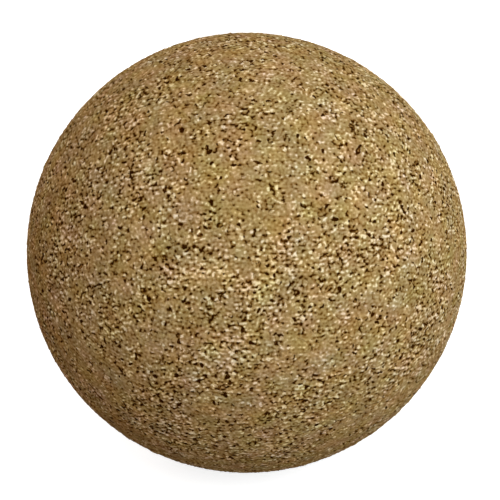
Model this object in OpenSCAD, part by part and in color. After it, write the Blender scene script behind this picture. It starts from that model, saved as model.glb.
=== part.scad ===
/* [Ball] */
// Outside diameter of the ball
ball_d = 65; // [50:1:80]

/* [Coarse granules] */
// Number of coarse granules that show at the surface
granule_count = 480; // [120:20:520]
// Largest width of a coarse granule
granule_w = 3; // [2:0.1:3.4]
// Depth of the largest granule below the surface
granule_depth = 1.3; // [1.1:0.1:1.8]
// How far a granule leans away from square to the surface, in degrees
granule_lean = 12; // [0:1:20]
// Choice of the random layout
layout_seed = 41; // [1:1:200]

/* [Small dark and pale pieces] */
// Width of the largest umber granule
umber_w = 2; // [1.4:0.1:3]
// Length of the largest bark fleck
bark_length = 1.9; // [1.4:0.1:3]
// Width of a bark fleck as a share of its length
bark_slimness = 0.3; // [0.25:0.05:0.6]
// Width of the largest cream fleck
cream_w = 1.2; // [0.8:0.1:2]

/* [Hidden] */
$fn = 240;

ball_r = ball_d / 2;

// Kinds of granule, by place in the lists below
STRAW = 0;
OCHRE = 1;
TAN = 2;
ROSY = 3;
OLIVE = 4;
UMBER = 5;
BARK = 6;
CREAM = 7;

// Share of the granules that are of each kind, running total
kind_limit = [0.13, 0.28, 0.46, 0.60, 0.73, 0.80, 0.91, 1.0];
// Largest length of each kind, and its width as a share of the length
kind_length = [granule_w, granule_w, granule_w, granule_w, granule_w, umber_w, bark_length, cream_w];
kind_slimness = [0.75, 0.8, 0.85, 0.75, 0.8, 0.7, bark_slimness, 0.8];
kind_depth = [1, 0.9, 1, 0.85, 0.95, 0.85, 0.75, 0.75] * granule_depth;

// Sites are spread evenly along a spiral that turns by the golden angle
golden_angle = 180 * (3 - sqrt(5));
// Distance between two neighbours on such a spiral over a unit ball with one site
spiral_spacing = 3.09;
site_spacing = spiral_spacing * ball_r / sqrt(granule_count);
// A granule fills at most this share of the space between two sites
fill_limit = 0.78;
length_limit = fill_limit * site_spacing;
// How far a granule sits from its site, as a share of what still clears its neighbours
wander_share = 0.8;
wander = (site_spacing - length_limit) / 2 * wander_share;

// Corners of a granule's outline, the least reach of a corner as a share of the
// full one, and how far a corner turns aside as a share of the corners' spacing
corner_count = 7;
corner_low = 0.76;
corner_sway = 0.3;
// Least length and least depth of a granule, as a share of its kind's largest
length_low = 0.62;
depth_low = 0.7;
// How far the cutting prism stands out of the surface
overshoot = 0.6;

// Sites stay clear of the line where the sphere's surface closes on itself
seam_gap = 0.3;
seam_clearance = length_limit / 2 + wander + seam_gap;
function polar_angle(i) = acos(1 - (2 * i + 1) / granule_count);
function site_x(i) = ball_r * sin(polar_angle(i)) * cos(golden_angle * i);
function site_y(i) = ball_r * sin(polar_angle(i)) * sin(golden_angle * i);
function clear_of_seam(i) = site_x(i) < -seam_clearance || abs(site_y(i)) > seam_clearance;
sites = [for (i = [0 : granule_count - 1]) if (clear_of_seam(i)) i];

// Numbers between 0 and 1 that belong to one granule: kind, length, depth, two
// leans, two shifts and a turn, then one for each corner
first_corner = 8;
function traits(i) = rands(0, 1, first_corner + corner_count, layout_seed * 1000 + i);

// The first kind whose running total is above the granule's number
function pick_kind(share, k = 0) = share < kind_limit[k] || k == CREAM ? k : pick_kind(share, k + 1);

function outline(length, slimness, t) = [
    for (c = [0 : corner_count - 1])
        let (
            other = t[first_corner + (c + 3) % corner_count],
            angle = 360 * (c + corner_sway * (other - 0.5)) / corner_count,
            reach = length / 2 * (corner_low + (1 - corner_low) * t[first_corner + c])
        )
        [reach * cos(angle), reach * slimness * sin(angle)]
];

// A granule's prism, from its flat inner face to just outside the ball
module granule_prism(i, t, kind) {
    length = min(kind_length[kind], length_limit) * (length_low + (1 - length_low) * t[1]);
    depth = kind_depth[kind] * (depth_low + (1 - depth_low) * t[2]);
    lean_x = granule_lean * (2 * t[3] - 1);
    lean_y = granule_lean * (2 * t[4] - 1);
    rotate([0, polar_angle(i), golden_angle * i])
        translate([wander * (2 * t[5] - 1), wander * (2 * t[6] - 1), ball_r])
            rotate([lean_x, lean_y, 360 * t[7]])
                translate([0, 0, -depth])
                    linear_extrude(height = depth + overshoot)
                        polygon(outline(length, kind_slimness[kind], t));
}

// Every granule of one kind, cut flush with the ball's surface
module granules(kind) {
    intersection() {
        sphere(r = ball_r);
        for (i = sites) {
            t = traits(i);
            if (pick_kind(t[0]) == kind) granule_prism(i, t, kind);
        }
    }
}

// The bonded fine grain, with a pocket for each coarse granule
module cork_body() {
    color("#a07d52")
        difference() {
            sphere(r = ball_r);
            for (i = sites) {
                t = traits(i);
                granule_prism(i, t, pick_kind(t[0]));
            }
        }
}

// Pale granules of clean cork
module straw_granules() {
    color("#cdb283") granules(STRAW);
}

// Golden granules
module ochre_granules() {
    color("#b88c4c") granules(OCHRE);
}

// Plain mid-brown granules
module tan_granules() {
    color("#94714a") granules(TAN);
}

// Granules with a pink cast
module rosy_granules() {
    color("#b08a6c") granules(ROSY);
}

// Granules with a green-grey cast
module olive_granules() {
    color("#8f8156") granules(OLIVE);
}

// Dark brown granules from beside the cork's pores
module umber_granules() {
    color("#5c4029") granules(UMBER);
}

// Thin, nearly black pieces of outer bark
module bark_flecks() {
    color("#2a1b12") granules(BARK);
}

// Small, nearly white flecks
module cream_flecks() {
    color("#ead9b6") granules(CREAM);
}

cork_body();
straw_granules();
ochre_granules();
tan_granules();
rosy_granules();
olive_granules();
umber_granules();
bark_flecks();
cream_flecks();
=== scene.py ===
"""Builds the cork massage ball, its studio and its camera in Blender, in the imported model's frame."""

import math

import bpy
import numpy as np
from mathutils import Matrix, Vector, kdtree


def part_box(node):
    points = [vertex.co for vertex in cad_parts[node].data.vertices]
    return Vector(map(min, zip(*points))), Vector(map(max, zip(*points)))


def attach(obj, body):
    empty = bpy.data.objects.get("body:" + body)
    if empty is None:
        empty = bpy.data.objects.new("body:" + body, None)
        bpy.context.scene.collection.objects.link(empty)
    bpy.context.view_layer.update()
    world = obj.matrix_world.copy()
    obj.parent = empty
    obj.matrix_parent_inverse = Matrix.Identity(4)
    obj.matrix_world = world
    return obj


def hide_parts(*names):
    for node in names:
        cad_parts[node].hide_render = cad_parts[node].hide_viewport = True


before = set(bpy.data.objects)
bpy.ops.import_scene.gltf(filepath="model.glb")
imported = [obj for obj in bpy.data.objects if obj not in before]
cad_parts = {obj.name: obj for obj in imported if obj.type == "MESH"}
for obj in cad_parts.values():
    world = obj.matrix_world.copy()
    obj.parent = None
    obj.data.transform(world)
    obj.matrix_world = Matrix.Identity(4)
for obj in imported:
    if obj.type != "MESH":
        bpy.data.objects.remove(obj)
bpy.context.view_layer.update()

# ---------------------------------------------------------------------------
# Sizes, in metres
# ---------------------------------------------------------------------------
MM = 0.001
BODY_NODE = "cork_body"
BODY_LOW, BODY_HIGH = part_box(BODY_NODE)
BALL_R = (BODY_HIGH[2] - BODY_LOW[2]) / 2

# Levels of four-way subdivision of an icosahedron: the surface's triangles
FINE_LEVELS = 8
# Nearby grains are looked up once for each triangle of this coarser level: how many of each layer
LOOKUP_LEVELS = 6
NEARBY_BASE = 10
NEARBY_FLECKS = 16
NEARBY_COARSE = 3
# How many points are worked out at a time
CHUNK = 60000

# How many grains of each sort show in the surface
BASE_COUNT = 15000
DARK_COUNT = 8000
LONE_COUNT = 1000
# Share of the dark grains that are kept where the surface is least broken up
DARK_LOW = 0.4
# Painted highlight: share of the dark grains that have a pale grain beside them, standing for the lit
# wall of the pit that most of them are, and how far off it is
PAINTED_HIGHLIGHT_SHARE = 0.8
PAINTED_HIGHLIGHT_GAP = 0.14 * MM
# Each sort's length in mm, how many times longer than wide it is, its tone from bark (0) to nearly
# white (1), and how far it stands above the ball's surface in mm
BASE = {"length": (0.7, 1.2), "aspect": (1.0, 1.9), "tone": (0.44, 0.66), "rise": (-0.015, 0.015)}
DARK = {"length": (0.42, 0.84), "aspect": (1.4, 2.4), "tone": (0.00, 0.28), "rise": (-0.20, -0.02)}
# Pale grains beside dark ones are a painted highlight for a pit's lit wall
PAINTED_HIGHLIGHT = {"length": (0.40, 0.84), "aspect": (1.2, 2.2), "tone": (0.82, 1.0), "rise": (0, 0.03)}
LONE = {"length": (0.3, 0.7), "aspect": (1.2, 2.2), "tone": (0.76, 1.0), "rise": (0, 0.03)}

# How far the grains' edges wander, in wide waves and in fine ones
WANDER = 0.07 * MM
FINE_WANDER = 0.04 * MM
# How steeply grains tilt
TILT = 0.05
# Height of the finest roughness
ROUGH = 0.016 * MM
# Width of a grain's rounded edge, and of the gap along it
EDGE_WIDTH = 0.10 * MM
GAP_WIDTH = 0.16 * MM
# Depth of a closed gap, and how much deeper an open one is
GAP_DEPTH = 0.008 * MM
OPEN_DEPTH = 0.14 * MM
# Grains that sink deeper than this are pits, and at the full depth a pit's painted shade is at its
# darkest
PIT_RISE = -0.05 * MM
PIT_FULL = 0.2 * MM
# Painted shade in a pit: how dark it is, and how much darker along its edge, as shares of an open gap's
# painted shade
PIT_PAINTED_SHADE = 0.45
PIT_EDGE_PAINTED_SHADE = 0.4
# Painted highlight round a pit, standing for its lit rim: where it starts to fade and where it ends, and
# how much paler it is
PIT_HIGHLIGHT_START = 0.02 * MM
PIT_HIGHLIGHT_END = 0.17 * MM
PIT_HIGHLIGHT_TONE = 0.30

# Light and dark crumbs: their spacing, how flat they lie, their contrast and their height
CRUMB_WAVE = 0.62 * MM
CRUMB_FLATTEN = 1.4
CRUMB_TONE = 0.27
CRUMB_RISE = 0.015 * MM
# Strength of the crumbs where the surface is least broken up
CRUMB_LOW = 0.4
# Spacing and strength of finer crumbs, which are the same everywhere
FINE_CRUMB_WAVE = 0.5 * MM
FINE_CRUMBS = 0.42

# How far a face leans to one hue: how much of that is its grain's own, and how much its surroundings'
OWN_LEAN = 0.34
WIDE_LEAN = 0.20

# Pockets in the body, and the granules that fill them
POCKET_DEPTH = 0.42 * MM
POCKET_TONE = 0.3
CHIP_DEPTH = 0.34 * MM
CHIP_TAPER = 0.10 * MM
PROUD = 0.004 * MM
# Edges of a granule that turn by more than this stay sharp
SHARP = math.radians(50)
# A packed granule's vertices that lie this near the ball's surface are the corners of its top
TOP_SKIN = 0.05 * MM

# The layer that textures are baked with, and how much of its cell each chart fills
BAKE_LAYER = "OFBake"
CHART_FILL = 0.96

# Every random draw follows from this
SEED = 7


# ---------------------------------------------------------------------------
# Geometry of the sphere
# ---------------------------------------------------------------------------
def unit(v):
    """Each row at length one."""
    return v / np.linalg.norm(v, axis=-1, keepdims=True)


def step(low, high, x):
    """0 below low, 1 above high, smooth between."""
    t = np.clip((x - low) / (high - low), 0, 1)
    return t * t * (3 - 2 * t)


def icosahedron():
    """Corners and triangles of a unit icosahedron."""
    g = (1 + math.sqrt(5)) / 2
    corners = []
    for a in (-1, 1):
        for b in (-g, g):
            corners += [(0, a, b), (a, b, 0), (b, 0, a)]
    corners = unit(np.array(corners, float))
    edge = min(np.linalg.norm(corners[0] - c) for c in corners[1:]) * 1.01
    faces = []
    for i in range(12):
        for j in range(i + 1, 12):
            for k in range(j + 1, 12):
                sides = [corners[i] - corners[j], corners[j] - corners[k], corners[k] - corners[i]]
                if max(np.linalg.norm(s) for s in sides) < edge:
                    turned = np.dot(np.cross(sides[0], sides[1]), corners[i]) < 0
                    faces.append((i, k, j) if turned else (i, j, k))
    return corners, np.array(faces)


def subdivide(points, faces):
    """Splits each triangle in four; triangle t becomes 4t to 4t + 3."""
    edges = np.concatenate([faces[:, [0, 1]], faces[:, [1, 2]], faces[:, [2, 0]]])
    edges.sort(axis=1)
    keys = edges[:, 0] * len(points) + edges[:, 1]
    found, first, place = np.unique(keys, return_index=True, return_inverse=True)
    middles = unit(points[edges[first, 0]] + points[edges[first, 1]])
    ab, bc, ca = (place + len(points)).reshape(3, -1)
    a, b, c = faces.T
    split = np.stack([a, ab, ca, ab, b, bc, ca, bc, c, ab, bc, ca], axis=1)
    return np.concatenate([points, middles]), split.reshape(-1, 3)


def geodesic(levels):
    """A unit sphere of triangles."""
    points, faces = icosahedron()
    for _ in range(levels):
        points, faces = subdivide(points, faces)
    return points, faces


def tangents(directions, turn):
    """Two unit tangents at each direction, turned by an angle each."""
    up = np.where(np.abs(directions[:, 2:]) < 0.9, [[0.0, 0.0, 1.0]], [[1.0, 0.0, 0.0]])
    first = unit(np.cross(up, directions))
    second = np.cross(directions, first)
    c, s = np.cos(turn)[:, None], np.sin(turn)[:, None]
    return c * first + s * second, c * second - s * first


class Waves:
    """Smooth noise over the unit sphere, mostly between -1 and 1: a sum of plane waves.

    Wavelengths vary by a factor of spread either way. With flatten above 1, its patches lie flatter.
    """

    def __init__(self, rng, wavelength, spread=1.4, flatten=1.0, count=14):
        ways = unit(rng.normal(size=(count, 3)) * (1, 1, flatten))
        sizes = wavelength / BALL_R * rng.uniform(1 / spread, spread, (count, 1))
        self.waves = ways * 2 * math.pi / sizes
        self.starts = rng.uniform(0, 2 * math.pi, count)

    def __call__(self, points):
        total = np.zeros(len(points))
        for wave, start in zip(self.waves, self.starts):
            total += np.sin(points @ wave + start)
        return total / math.sqrt(len(self.starts) / 2)


class Surface:
    """The noises that the ball's colour and relief share."""

    def __init__(self, rng):
        self.shift = [Waves(rng, 0.9 * MM) for _ in range(3)]
        self.fine_shift = [Waves(rng, 0.35 * MM) for _ in range(3)]
        self.crumbs = Waves(rng, CRUMB_WAVE, spread=1.7, flatten=CRUMB_FLATTEN, count=80)
        self.fine_crumbs = Waves(rng, FINE_CRUMB_WAVE, spread=1.25, flatten=CRUMB_FLATTEN, count=40)
        self.busy = Waves(rng, 3 * MM)
        self.wide_busy = Waves(rng, 11 * MM)
        self.rough = Waves(rng, 0.6 * MM)
        self.patch = Waves(rng, 5 * MM)
        self.local = Waves(rng, 1.1 * MM)
        self.speckle = Waves(rng, 0.7 * MM)
        self.hue = Waves(rng, 4 * MM)
        self.gold = Waves(rng, 4 * MM)

    def warped(self, points):
        """Points shifted a little, so that the grains' edges wander."""
        shift = np.stack([wave(points) for wave in self.shift], axis=1)
        fine = np.stack([wave(points) for wave in self.fine_shift], axis=1)
        return points + (shift * WANDER + fine * FINE_WANDER) / BALL_R

    def crumb(self, points):
        """Light and dark crumbs, stronger in some patches than in others."""
        strength = CRUMB_LOW + (1 - CRUMB_LOW) * self.busyness(points)
        return strength * self.crumbs(points) + FINE_CRUMBS * self.fine_crumbs(points)

    def busyness(self, points):
        """How broken up the surface is, from 0 to 1."""
        return step(-1.4, 1.4, 0.8 * self.busy(points) + 0.8 * self.wide_busy(points))


# ---------------------------------------------------------------------------
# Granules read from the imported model
# ---------------------------------------------------------------------------
def solids_of(node):
    """The vertices of each separate solid in a node, as a list of arrays in metres."""
    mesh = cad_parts[node].data
    co = np.empty(len(mesh.vertices) * 3)
    mesh.vertices.foreach_get("co", co)
    co = co.reshape(-1, 3)
    mesh.calc_loop_triangles()
    tris = np.empty(len(mesh.loop_triangles) * 3, int)
    mesh.loop_triangles.foreach_get("vertices", tris)
    _, same = np.unique(np.round(co, 6), axis=0, return_inverse=True)
    tris = same.ravel()[tris].reshape(-1, 3)
    label = np.arange(same.max() + 1)
    while True:
        lowest = label[tris].min(axis=1)
        new = label.copy()
        np.minimum.at(new, tris.ravel(), np.repeat(lowest, 3))
        if (new == label).all():
            break
        label = new
    group = label[same.ravel()]
    return [co[group == g] for g in np.unique(group)]


def footprint(solid):
    """Where a coarse granule shows: its direction, its long and short tangents, and its half sizes."""
    outer = solid[np.linalg.norm(solid, axis=1) > BALL_R - TOP_SKIN]
    middle = unit(outer.mean(axis=0))
    flat = outer - np.outer(outer @ middle, middle)
    flat -= flat.mean(axis=0)
    _, _, axes = np.linalg.svd(flat, full_matrices=False)
    halves = np.abs(flat @ axes[:2].T).max(axis=0)
    return middle, axes[0], axes[1], halves


# ---------------------------------------------------------------------------
# Grains: everything that shows in the surface
# ---------------------------------------------------------------------------
# CAD nodes of coarse granules, and the range of tones that each one has
COARSE = {
    "straw_granules": (0.60, 0.76),
    "ochre_granules": (0.50, 0.70),
    "tan_granules": (0.36, 0.56),
    "rosy_granules": (0.45, 0.70),
    "olive_granules": (0.40, 0.62),
    "umber_granules": (0.18, 0.32),
    "bark_flecks": (0.00, 0.05),
    "cream_flecks": (0.90, 1.00),
}
# How far each kind leans from pink (0) to green (1)
COARSE_TINT = {"rosy_granules": (0.0, 0.2), "olive_granules": (0.75, 1.0)}
PLAIN_TINT = (0.2, 0.8)
# How far coarse granules stand above the ball's surface, in mm: the mean and the spread
COARSE_RISE = (0.004, 0.008)


class Grains:
    """Grains: direction, two tangents, half sizes, kind (0 is fine grain), tone, tint and relief."""

    NAMES = ("way", "a", "b", "la", "lb", "kind", "tone", "tint", "rise")

    def __init__(self):
        self.parts = {name: [] for name in self.NAMES}
        self.count = 0

    def add(self, **values):
        """Adds grains, and returns their numbers."""
        for name in self.NAMES:
            self.parts[name].append(np.asarray(values[name], float))
        start = self.count
        self.count += len(values["way"])
        return np.arange(start, self.count)

    def close(self, rng):
        """Joins the lists into arrays, and gives each grain its tilt and its lean to gold."""
        for name in self.NAMES:
            setattr(self, name, np.concatenate(self.parts[name]))
        self.kind = self.kind.astype(int)
        self.slope_a = rng.normal(0, TILT, self.count)
        self.slope_b = rng.normal(0, TILT, self.count)
        self.gold = rng.random(self.count)


def coarse_grains(grains, rng):
    """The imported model's own coarse granules."""
    numbers = []
    for kind, (node, (low, high)) in enumerate(COARSE.items(), start=1):
        shapes = [footprint(s) for s in solids_of(node)]
        halves = np.array([s[3] for s in shapes])
        count = len(shapes)
        numbers.append(
            grains.add(
                way=[s[0] for s in shapes],
                a=[s[1] for s in shapes],
                b=[s[2] for s in shapes],
                la=halves[:, 0],
                lb=halves[:, 1],
                kind=np.full(count, kind),
                tone=rng.uniform(low, high, count),
                tint=rng.uniform(*COARSE_TINT.get(node, PLAIN_TINT), count),
                rise=rng.normal(*COARSE_RISE, count) * MM,
            )
        )
    return np.concatenate(numbers)


def random_grains(grains, rng, way, length, aspect, tone, rise):
    """Grains of fine cork at the given places."""
    count = len(way)
    first, second = tangents(way, rng.uniform(0, 2 * math.pi, count))
    half = rng.uniform(*length, count) * MM / 2
    return grains.add(
        way=way,
        a=first,
        b=second,
        la=half,
        lb=half / rng.uniform(*aspect, count),
        kind=np.zeros(count),
        tone=rng.uniform(*tone, count),
        tint=rng.random(count),
        rise=rng.uniform(*rise, count) * MM,
    )


def scattered(rng, count, jitter=0.33):
    """Even directions: a golden spiral in a random pose, each shaken by a share of the spacing."""
    steps = np.arange(count) + 0.5
    z = 1 - 2 * steps / count
    ring = np.sqrt(1 - z * z)
    turn = steps * math.pi * (3 - math.sqrt(5))
    spiral = np.stack([ring * np.cos(turn), ring * np.sin(turn), z], axis=1)
    pose, _ = np.linalg.qr(rng.normal(size=(3, 3)))
    spacing = math.sqrt(4 * math.pi / count)
    return unit(spiral @ pose + rng.normal(0, jitter * spacing, (count, 3)))


def beside(grains, rng, numbers, gap):
    """A place beside each grain, off its long side."""
    way = np.concatenate(grains.parts["way"])[numbers]
    b = np.concatenate(grains.parts["b"])[numbers]
    lb = np.concatenate(grains.parts["lb"])[numbers]
    side = np.where(rng.random(len(numbers)) < 0.5, -1, 1)
    return unit(way * BALL_R + b * ((lb + gap) * side)[:, None])


# ---------------------------------------------------------------------------
# Which grain each point of the surface belongs to
# ---------------------------------------------------------------------------
def nearby(directions, ways, count):
    """The numbers of the nearest ways to each direction."""
    tree = kdtree.KDTree(len(ways))
    for i, way in enumerate(ways):
        tree.insert(way, i)
    tree.balance()
    return np.array([[hit[1] for hit in tree.find_n(d, count)] for d in directions])


def reaches(points, choice, grains):
    """How many half sizes away each chosen grain's middle is."""
    frames = np.stack([grains.a / grains.la[:, None], grains.b / grains.lb[:, None]], axis=1) * BALL_R
    result = np.empty(choice.shape)
    for start in range(0, len(points), CHUNK):
        part = slice(start, start + CHUNK)
        offset = points[part, None, :] - grains.way[choice[part]]
        local = np.einsum("nkij,nkj->nki", frames[choice[part]], offset)
        result[part] = np.sqrt((local**2).sum(axis=2))
    return result


def lowest_two(values):
    """For each row, the place of its lowest value, that value and the next."""
    order = np.argpartition(values, 1, axis=1)[:, :2]
    rows = np.arange(len(values))
    return order[:, 0], values[rows, order[:, 0]], values[rows, order[:, 1]]


def owners(points, parent, tables, grains):
    """Each point's grain, how deep inside that grain's edge it is, and how far the nearest pit is."""
    base, flecks, coarse = tables
    choice = base[parent]
    pick, best, other = lowest_two(reaches(points, choice, grains))
    rows = np.arange(len(points))
    label = choice[rows, pick]
    edge = (other - best) * grains.lb[label] / 2
    to_pit = np.full(len(points), 1.0)
    for table in (flecks, coarse):
        choice = table[parent]
        reach = reaches(points, choice, grains)
        pick = reach.argmin(axis=1)
        found = choice[rows, pick]
        away = (reach[rows, pick] - 1) * grains.lb[found]
        inside = away < 0
        label = np.where(inside, found, label)
        edge = np.where(inside, -away, np.minimum(edge, away))
        if table is flecks:
            deep = grains.rise[choice] < PIT_RISE
            gap = np.where(deep, (reach - 1) * grains.lb[choice], 1.0).min(axis=1)
            to_pit = np.where(inside, 1.0, gap)
    return label, edge, to_pit


def face_edges(faces, labels):
    """Pairs of points along the borders between grains."""
    sides = np.concatenate([faces[:, [0, 1]], faces[:, [1, 2]], faces[:, [2, 0]]])
    sides.sort(axis=1)
    keys = sides[:, 0] * (faces.max() + 1) + sides[:, 1]
    order = np.argsort(keys, kind="stable")
    owner = np.tile(labels, 3)[order]
    pairs = sides[order].reshape(-1, 2, 2)[:, 0]
    split = owner.reshape(-1, 2)
    return pairs[split[:, 0] != split[:, 1]]


def smooth_borders(points, borders, rounds=2):
    """Draws the zigzag borders out into smooth lines."""
    for _ in range(rounds):
        total = np.zeros_like(points)
        count = np.zeros(len(points))
        for a, b in ((0, 1), (1, 0)):
            np.add.at(total, borders[:, a], points[borders[:, b]])
            np.add.at(count, borders[:, a], 1)
        on = count > 0
        middle = total[on] / count[on, None]
        points[on] = unit(0.5 * points[on] + 0.5 * middle)
    return points


# ---------------------------------------------------------------------------
# Meshes
# ---------------------------------------------------------------------------
def ball_charts(corners):
    """Texture coordinates of each face's corners: a chart for each side of a cube round the ball."""
    middles = corners.mean(axis=1)
    side = np.abs(middles).argmax(axis=1)
    row = (middles[np.arange(len(side)), side] > 0).astype(int)
    out, u, v = [
        np.take_along_axis(corners, ((side + k) % 3)[:, None, None], axis=2)[..., 0] for k in range(3)
    ]
    square = np.stack([np.arctan(u / out), np.arctan(v / out)], axis=2) * 4 / math.pi
    centre = np.stack([side, row], axis=1)[:, None] + 0.5
    return (centre + square * CHART_FILL / 2) / (3, 2)


def chip_charts(corners, chips, hidden, grains):
    """Texture coordinates of coarse granules: a cell for each top, and another for its hidden sides."""
    owners, place = np.unique(chips, return_inverse=True)
    columns = math.ceil(math.sqrt(len(owners) / 2))
    rows = math.ceil(len(owners) / columns)
    offset = corners - grains.way[chips][:, None] * BALL_R
    tangent = (grains.a[chips], grains.b[chips])
    flat = np.stack([np.einsum("nij,nj->ni", offset, side) for side in tangent], axis=2)
    square = flat / np.abs(flat).max()
    cell = np.stack([place % columns + columns * hidden, place // columns], axis=1)[:, None] + 0.5
    return (cell + square * CHART_FILL / 2) / (2 * columns, rows)


def make_mesh(name, points, faces, charts, face_values, point_values):
    """A smooth mesh object, with the texture coordinates that it bakes with and the given attributes."""
    mesh = bpy.data.meshes.new(name)
    mesh.vertices.add(len(points))
    mesh.vertices.foreach_set("co", points.astype(np.float32).ravel())
    mesh.loops.add(len(faces) * 3)
    mesh.loops.foreach_set("vertex_index", faces.astype(np.int32).ravel())
    mesh.polygons.add(len(faces))
    mesh.polygons.foreach_set("loop_start", np.arange(0, len(faces) * 3, 3, dtype=np.int32))
    mesh.update(calc_edges=True)
    mesh.validate()
    mesh.shade_smooth()
    layer = mesh.uv_layers.new(name=BAKE_LAYER)
    layer.data.foreach_set("uv", charts.astype(np.float32).ravel())
    for domain, values in (("FACE", face_values), ("POINT", point_values)):
        for key, data in values.items():
            layer = mesh.attributes.new(key, "FLOAT", domain)
            layer.data.foreach_set("value", data.astype(np.float32))
    piece = bpy.data.objects.new(name, mesh)
    bpy.context.scene.collection.objects.link(piece)
    return piece


def finish_piece(piece, node, material):
    """Gives a piece its material, hangs it on the root body, and hides the CAD node that it stands for.
    """
    piece.data.materials.append(material)
    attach(piece, "root")
    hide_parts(node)


def relief(points, label, edge, grains, surface):
    """Height of each point above the ball's true surface, and its painted shade: how open the gap beside
    it is, or how deep its pit is.
    """
    offset = (points - grains.way[label]) * BALL_R
    along = (offset * grains.a[label]).sum(axis=1)
    across = (offset * grains.b[label]).sum(axis=1)
    height = grains.rise[label] * step(0, EDGE_WIDTH, edge)
    height += along * grains.slope_a[label] + across * grains.slope_b[label]
    height += ROUGH * surface.rough(points) + CRUMB_RISE * surface.crumb(points)
    openness = step(0.6, 1.7, 0.2 * surface.patch(points) + surface.local(points))
    near = 1 - step(0, GAP_WIDTH, edge)
    height -= near * (GAP_DEPTH + OPEN_DEPTH * openness)
    pit = grains.rise[label] < PIT_RISE
    depth = np.clip(-grains.rise[label] / PIT_FULL, 0, 1)
    # The second value is painted shade: darker in open gaps, and darker the deeper a pit is
    return height, np.where(pit, depth * (PIT_PAINTED_SHADE + PIT_EDGE_PAINTED_SHADE * near), near * openness)


def lean(own, around):
    """How far each face leans to one of two hues, from 0 to 1."""
    return np.clip(0.5 + OWN_LEAN * (own - 0.5) + WIDE_LEAN * around, 0, 1)


def face_colours(points, label, to_pit, grains, surface):
    """Tone and leans of each face: its grain's own, with a painted highlight at the rims of pits."""
    # Painted highlight at the rims of pits, in patches
    rim = (1 - step(PIT_HIGHLIGHT_START, PIT_HIGHLIGHT_END, to_pit)) * step(-0.5, 1.2, surface.speckle(points))
    fine = grains.kind[label] == 0
    tone = grains.tone[label] + np.where(fine, PIT_HIGHLIGHT_TONE * rim, 0)
    tone += CRUMB_TONE * surface.crumb(points)
    tint = lean(grains.tint[label], surface.hue(points))
    gold = lean(grains.gold[label], surface.gold(points))
    return {"tone": np.clip(tone, 0, 1), "tint": tint, "gold": gold}


def body_piece(points, faces, face_label, colours, height, gap, grains):
    """The bonded grain: one closed skin, with a pocket under each coarse granule."""
    coarse = grains.kind[face_label] > 0
    touches_fine = np.zeros(len(points), bool)
    touches_fine[faces[~coarse].ravel()] = True
    inner = ~touches_fine
    radius = BALL_R + np.where(inner, -POCKET_DEPTH, height)
    values = {**colours, "tone": np.where(coarse, POCKET_TONE, colours["tone"])}
    charts = ball_charts(points[faces])
    # The gap attribute carries the painted shade in gaps and pits
    piece = make_mesh("bonded_grain", points * radius[:, None], faces, charts, values, {"gap": gap})
    finish_piece(piece, BODY_NODE, grain_material("bonded_grain"))


def open_sides(faces, count):
    """Sides that only one face has, in that face's order."""
    sides = np.concatenate([faces[:, [0, 1]], faces[:, [1, 2]], faces[:, [2, 0]]])
    there = sides[:, 0] * count + sides[:, 1]
    back = sides[:, 1] * count + sides[:, 0]
    return sides[~np.isin(there, back)]


def chip_walls(a, b, lower, hub):
    """Faces down from each rim side (a, b), and from there to the middle of the granule's underside."""
    down = np.stack([b, a, lower[a]], axis=1)
    across = np.stack([b, lower[a], lower[b]], axis=1)
    under = np.stack([lower[b], lower[a], hub[a]], axis=1)
    return np.concatenate([down, across, under])


def chip_piece(node, kind, points, faces, face_label, colours, height, gap, grains):
    """Every coarse granule of one kind, each a closed solid that tapers into its pocket."""
    mine = grains.kind[face_label] == kind
    top_chip = face_label[mine]
    # Each granule has its own copy of the points that its top uses
    keys = top_chip[:, None] * len(points) + faces[mine]
    found, top = np.unique(keys, return_inverse=True)
    top = top.reshape(-1, 3)
    chip, source = np.divmod(found, len(points))
    sides = open_sides(top, len(found))
    rim = np.unique(sides)
    chips = np.unique(chip)
    lower = np.full(len(found), -1)
    lower[rim] = len(found) + np.arange(len(rim))
    hub = len(found) + len(rim) + np.searchsorted(chips, chip)

    rim_points = points[source[rim]]
    inward = unit(grains.way[chip[rim]] - rim_points)
    top_place = points[source] * (BALL_R + height[source] + PROUD)[:, None]
    low_place = rim_points * (BALL_R - CHIP_DEPTH) + inward * CHIP_TAPER
    hub_place = grains.way[chips] * (BALL_R - CHIP_DEPTH)
    places = np.concatenate([top_place, low_place, hub_place])
    # The granule's sides and underside get the full painted shade of an open gap
    gaps = np.concatenate([gap[source], np.ones(len(places) - len(found))])

    walls = chip_walls(*sides.T, lower, hub)
    wall_chip = np.tile(chip[sides[:, 0]], 3)
    values = {}
    for name, tops in colours.items():
        values[name] = np.concatenate([tops[mine], getattr(grains, name)[wall_chip]])
    skin = np.concatenate([top, walls])
    hidden = np.repeat([0, 1], [len(top), len(walls)])
    charts = chip_charts(places[skin], np.concatenate([top_chip, wall_chip]), hidden, grains)
    piece = make_mesh(node + "_set", places, skin, charts, values, {"gap": gaps})
    piece.data.set_sharp_from_angle(angle=SHARP)
    finish_piece(piece, node, grain_material(node + "_set"))


# ---------------------------------------------------------------------------
# Materials
# ---------------------------------------------------------------------------
# Cork from nearly black bark to nearly white, by how common each tone is
CORK_TONES = (
    (0.00, (0.030, 0.007, 0.000)),
    (0.08, (0.085, 0.030, 0.004)),
    (0.18, (0.212, 0.100, 0.020)),
    (0.36, (0.315, 0.192, 0.064)),
    (0.56, (0.390, 0.250, 0.096)),
    (0.76, (0.480, 0.320, 0.140)),
    (0.88, (0.600, 0.425, 0.210)),
    (0.95, (0.760, 0.560, 0.310)),
    (1.00, (0.900, 0.720, 0.450)),
)
# How far down the tones the painted shade in open gaps and pits goes
GAP_PAINTED_SHADE = 0.48
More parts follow.
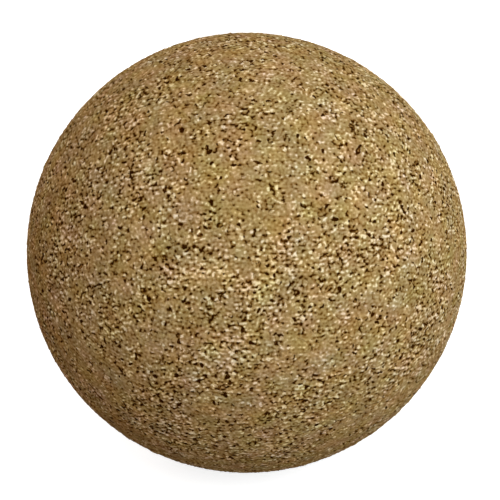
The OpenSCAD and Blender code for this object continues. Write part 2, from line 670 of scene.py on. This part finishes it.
# Tints that multiply the tone's colour: from pink to green, and from grey to golden
TINTS = ((1.06, 0.975, 1.00), (0.94, 1.025, 1.00))
GOLDS = ((0.98, 0.99, 1.16), (1.02, 1.01, 0.85))
# Mottling inside the grains, soft and crisp: how fine it is, and how far it moves the tone
SOFT_SCALE = 2300.0
SOFT_TONE = 0.84
CRISP_SCALE = 1900.0
CRISP_TONE = 0.16
# Open cells in the cork: how fine they are, and how deep they look
CELL_SCALE = 5200.0
CELL_DEPTH = 0.06 * MM


def link(tree, source, target):
    tree.links.new(source, target)


def add(tree, kind, **values):
    """A node with the given values, each an input's or the node's own."""
    node = tree.nodes.new(kind)
    for key, value in values.items():
        if key in node.inputs:
            node.inputs[key].default_value = value
        else:
            setattr(node, key, value)
    return node


def scaled(tree, source, middle, amount):
    """(source - middle) times amount."""
    node = add(tree, "ShaderNodeMath", operation="MULTIPLY_ADD")
    node.inputs[1].default_value = amount
    node.inputs[2].default_value = -middle * amount
    link(tree, source, node.inputs[0])
    return node.outputs["Value"]


def clear_tree(owner):
    """The owner's node tree, with nothing in it."""
    owner.use_nodes = True
    tree = owner.node_tree
    tree.nodes.clear()
    return tree


def attribute(tree, name):
    """A value that the mesh carries."""
    return add(tree, "ShaderNodeAttribute", attribute_name=name).outputs["Fac"]


def mixed_tone(tree, place):
    """The grain's own tone, with its mottling and with painted shade in gaps and pits."""
    soft = add(tree, "ShaderNodeTexNoise", Scale=SOFT_SCALE, Detail=2.0, Roughness=0.55)
    link(tree, place, soft.inputs["Vector"])
    crisp = add(tree, "ShaderNodeTexVoronoi", Scale=CRISP_SCALE)
    link(tree, place, crisp.inputs["Vector"])
    level = add(tree, "ShaderNodeSeparateColor")
    link(tree, crisp.outputs["Color"], level.inputs["Color"])
    parts = (
        scaled(tree, soft.outputs["Fac"], 0.5, SOFT_TONE),
        scaled(tree, level.outputs["Red"], 0.5, CRISP_TONE),
        # Painted shade: darker in open gaps and pits
        scaled(tree, attribute(tree, "gap"), 0, -GAP_PAINTED_SHADE),
    )
    tone = attribute(tree, "tone")
    for part in parts:
        total = add(tree, "ShaderNodeMath", operation="ADD")
        link(tree, tone, total.inputs[0])
        link(tree, part, total.inputs[1])
        tone = total.outputs["Value"]
    return tone


def cork_colour(tree, tone):
    """The colour of a tone of cork."""
    ramp = add(tree, "ShaderNodeValToRGB")
    stops = ramp.color_ramp.elements
    for i, (position, colour) in enumerate(CORK_TONES):
        stop = stops[i] if i < 2 else stops.new(position)
        stop.position = position
        stop.color = (*colour, 1)
    link(tree, tone, ramp.inputs["Fac"])
    return ramp.outputs["Color"]


def leaning(tree, colour, name, ends):
    """A colour times a tint between two ends, as far along as the attribute of that name says."""
    tint = add(tree, "ShaderNodeValToRGB")
    for stop, end in zip(tint.color_ramp.elements, ends):
        stop.color = (*end, 1)
    link(tree, attribute(tree, name), tint.inputs["Fac"])
    product = add(tree, "ShaderNodeMix", data_type="RGBA", blend_type="MULTIPLY")
    product.inputs["Factor"].default_value = 1
    link(tree, colour, product.inputs["A"])
    link(tree, tint.outputs["Color"], product.inputs["B"])
    return product.outputs["Result"]


def open_cells(tree, place):
    """The bump of the cork's open cells."""
    cells = add(tree, "ShaderNodeTexVoronoi", Scale=CELL_SCALE)
    link(tree, place, cells.inputs["Vector"])
    bump = add(tree, "ShaderNodeBump", Strength=0.35, Distance=CELL_DEPTH)
    link(tree, cells.outputs["Distance"], bump.inputs["Height"])
    return bump.outputs["Normal"]


def grain_material(name):
    """Cork: the granule's own tone, mottling inside it, painted shade in gaps and pits, and open cells in
    its bump.
    """
    material = bpy.data.materials.new(name)
    tree = clear_tree(material)
    out = add(tree, "ShaderNodeOutputMaterial")
    shader = add(tree, "ShaderNodeBsdfPrincipled", Roughness=0.78)
    shader.inputs["Specular IOR Level"].default_value = 0.0
    link(tree, shader.outputs["BSDF"], out.inputs["Surface"])
    place = add(tree, "ShaderNodeTexCoord").outputs["Object"]
    colour = cork_colour(tree, mixed_tone(tree, place))
    colour = leaning(tree, colour, "tint", TINTS)
    colour = leaning(tree, colour, "gold", GOLDS)
    link(tree, colour, shader.inputs["Base Color"])
    link(tree, open_cells(tree, place), shader.inputs["Normal"])
    return material


# ---------------------------------------------------------------------------
# The ball
# ---------------------------------------------------------------------------
def make_grains(rng, surface):
    """All the grains, and the numbers of those in each layer: base, flecks, coarse."""
    grains = Grains()
    base = random_grains(grains, rng, scattered(rng, BASE_COUNT), **BASE)
    places = scattered(rng, DARK_COUNT)
    kept = DARK_LOW + (1 - DARK_LOW) * surface.busyness(places)
    dark = random_grains(grains, rng, places[rng.random(DARK_COUNT) < kept], **DARK)
    # Painted highlight: a pale grain beside most dark grains, where a pit's wall would catch the light
    partners = dark[rng.random(len(dark)) < PAINTED_HIGHLIGHT_SHARE]
    painted_highlights = random_grains(grains, rng, beside(grains, rng, partners, PAINTED_HIGHLIGHT_GAP), **PAINTED_HIGHLIGHT)
    lone = random_grains(grains, rng, scattered(rng, LONE_COUNT), **LONE)
    coarse = coarse_grains(grains, rng)
    grains.close(rng)
    return grains, base, np.concatenate([dark, painted_highlights, lone]), coarse


def lookup(levels, grains, base, flecks, coarse):
    """For each triangle of a coarse sphere, the grains of each layer that may reach it."""
    points, faces = geodesic(levels)
    middles = unit(points[faces].mean(axis=1))
    sizes = ((base, NEARBY_BASE), (flecks, NEARBY_FLECKS), (coarse, NEARBY_COARSE))
    return [numbers[nearby(middles, grains.way[numbers], count)] for numbers, count in sizes]


def build_ball():
    """The body and the coarse granules, from one fine sphere that is cut up along the granules' edges."""
    rng = np.random.default_rng(SEED)
    surface = Surface(rng)
    grains, *layers = make_grains(rng, surface)
    tables = lookup(LOOKUP_LEVELS, grains, *layers)
    points, faces = geodesic(FINE_LEVELS)
    parent = np.arange(len(faces)) // 4 ** (FINE_LEVELS - LOOKUP_LEVELS)
    middles = unit(points[faces].mean(axis=1))
    face_label, _, to_pit = owners(surface.warped(middles), parent, tables, grains)
    colours = face_colours(middles, face_label, to_pit, grains, surface)
    smooth_borders(points, face_edges(faces, face_label))
    some_face = np.zeros(len(points), int)
    some_face[faces.ravel()] = np.repeat(np.arange(len(faces)), 3)
    label, edge, _ = owners(surface.warped(points), parent[some_face], tables, grains)
    height, gap = relief(points, label, edge, grains, surface)
    body_piece(points, faces, face_label, colours, height, gap, grains)
    for kind, node in enumerate(COARSE, start=1):
        chip_piece(node, kind, points, faces, face_label, colours, height, gap, grains)


# ---------------------------------------------------------------------------
# Studio
# ---------------------------------------------------------------------------
# The floor, half its width, and how the camera sees it
FLOOR_HALF = 4.0
FLOOR_COLOUR = (0.9, 0.9, 0.9)
FLOOR_GLOW = 0.75
# What the floor throws back on the ball
BOUNCE_COLOUR = (0.23, 0.16, 0.115)
# The light from all round, and the backdrop that the camera sees in its place
FILL_COLOUR = (1.19, 1.0, 0.88)
FILL_STRENGTH = 0.455
BACKDROP_STRENGTH = 1.05

# How far the camera looks down
CAMERA_TILT = math.radians(18)
LENS = 85.0
SENSOR = 36.0
# The ball's width as a share of the picture's width, and how far the picture is shifted
BALL_SHARE = 0.8796
SHIFT = (0.0066, 0.0054)

# The camera's own directions
RIGHT = Vector((1, 0, 0))
UP = Vector((0, math.sin(CAMERA_TILT), math.cos(CAMERA_TILT)))
TOWARD = Vector((0, -math.cos(CAMERA_TILT), math.sin(CAMERA_TILT)))

# The lights, each with its way from the ball
LIGHT_COLOUR = (0.83, 1.0, 1.10)
LIGHT_DISTANCE = 0.45
KEY_WAY = RIGHT * 0.49 + UP * 0.17 + TOWARD * 0.86
KEY_SIZE = 0.6
KEY_POWER = 2.22
BACK_WAY = Vector((-0.35, 1, 0.12))
BACK_SIZE = 0.4
BACK_POWER = 0.7


def by_camera_ray(tree, seen, otherwise):
    """A shader that the camera sees as one thing, and everything else as another."""
    path = add(tree, "ShaderNodeLightPath")
    pick = add(tree, "ShaderNodeMixShader")
    link(tree, path.outputs["Is Camera Ray"], pick.inputs["Fac"])
    link(tree, otherwise, pick.inputs[1])
    link(tree, seen, pick.inputs[2])
    return pick.outputs["Shader"]


def floor_material():
    """Nearly white to the camera, and a dim warm colour to the ball."""
    material = bpy.data.materials.new("floor")
    tree = clear_tree(material)
    out = add(tree, "ShaderNodeOutputMaterial")
    plain = add(tree, "ShaderNodeBsdfDiffuse", Color=(*FLOOR_COLOUR, 1))
    glow = add(tree, "ShaderNodeEmission", Strength=FLOOR_GLOW)
    both = add(tree, "ShaderNodeAddShader")
    link(tree, plain.outputs["BSDF"], both.inputs[0])
    link(tree, glow.outputs["Emission"], both.inputs[1])
    bounce = add(tree, "ShaderNodeBsdfDiffuse", Color=(*BOUNCE_COLOUR, 1))
    mixed = by_camera_ray(tree, both.outputs["Shader"], bounce.outputs["BSDF"])
    link(tree, mixed, out.inputs["Surface"])
    return material


def add_floor():
    """A large plain floor under the ball."""
    mesh = bpy.data.meshes.new("floor")
    z = BODY_LOW[2]
    half = FLOOR_HALF
    corners = [(-half, -half, z), (half, -half, z), (half, half, z), (-half, half, z)]
    mesh.from_pydata(corners, [], [(0, 1, 2, 3)])
    mesh.materials.append(floor_material())
    floor = bpy.data.objects.new("floor", mesh)
    bpy.context.scene.collection.objects.link(floor)


def add_world():
    """A white backdrop, and a soft fill from all round."""
    world = bpy.data.worlds.new("studio")
    bpy.context.scene.world = world
    tree = clear_tree(world)
    out = add(tree, "ShaderNodeOutputWorld")
    backdrop = add(tree, "ShaderNodeBackground", Color=(1, 1, 1, 1), Strength=BACKDROP_STRENGTH)
    fill = add(tree, "ShaderNodeBackground", Color=(*FILL_COLOUR, 1), Strength=FILL_STRENGTH)
    mixed = by_camera_ray(tree, backdrop.outputs["Background"], fill.outputs["Background"])
    link(tree, mixed, out.inputs["Surface"])


def add_area(name, way, size, power):
    """A round area light that faces the ball."""
    light = bpy.data.lights.new(name, "AREA")
    light.shape = "DISK"
    light.size = size
    light.energy = power
    light.color = LIGHT_COLOUR
    lamp = bpy.data.objects.new(name, light)
    lamp.location = way.normalized() * LIGHT_DISTANCE
    lamp.rotation_euler = way.to_track_quat("Z", "Y").to_euler()
    bpy.context.scene.collection.objects.link(lamp)


def add_camera():
    """A camera on the ball's centre line, so far away that the ball fills its share of the picture."""
    half_angle = math.atan(BALL_SHARE / 2 * SENSOR / LENS)
    distance = BALL_R / math.sin(half_angle)
    camera = bpy.data.cameras.new("camera")
    camera.lens = LENS
    camera.sensor_width = SENSOR
    camera.clip_start = 0.01
    camera.shift_x, camera.shift_y = SHIFT
    holder = bpy.data.objects.new("camera", camera)
    holder.location = TOWARD * distance
    holder.rotation_euler = TOWARD.to_track_quat("Z", "Y").to_euler()
    bpy.context.scene.collection.objects.link(holder)
    bpy.context.scene.camera = holder


build_ball()
add_floor()
add_world()
add_area("key", KEY_WAY, KEY_SIZE, KEY_POWER)
add_area("back", BACK_WAY, BACK_SIZE, BACK_POWER)
add_camera()
bpy.context.scene.view_settings.view_transform = "Standard"
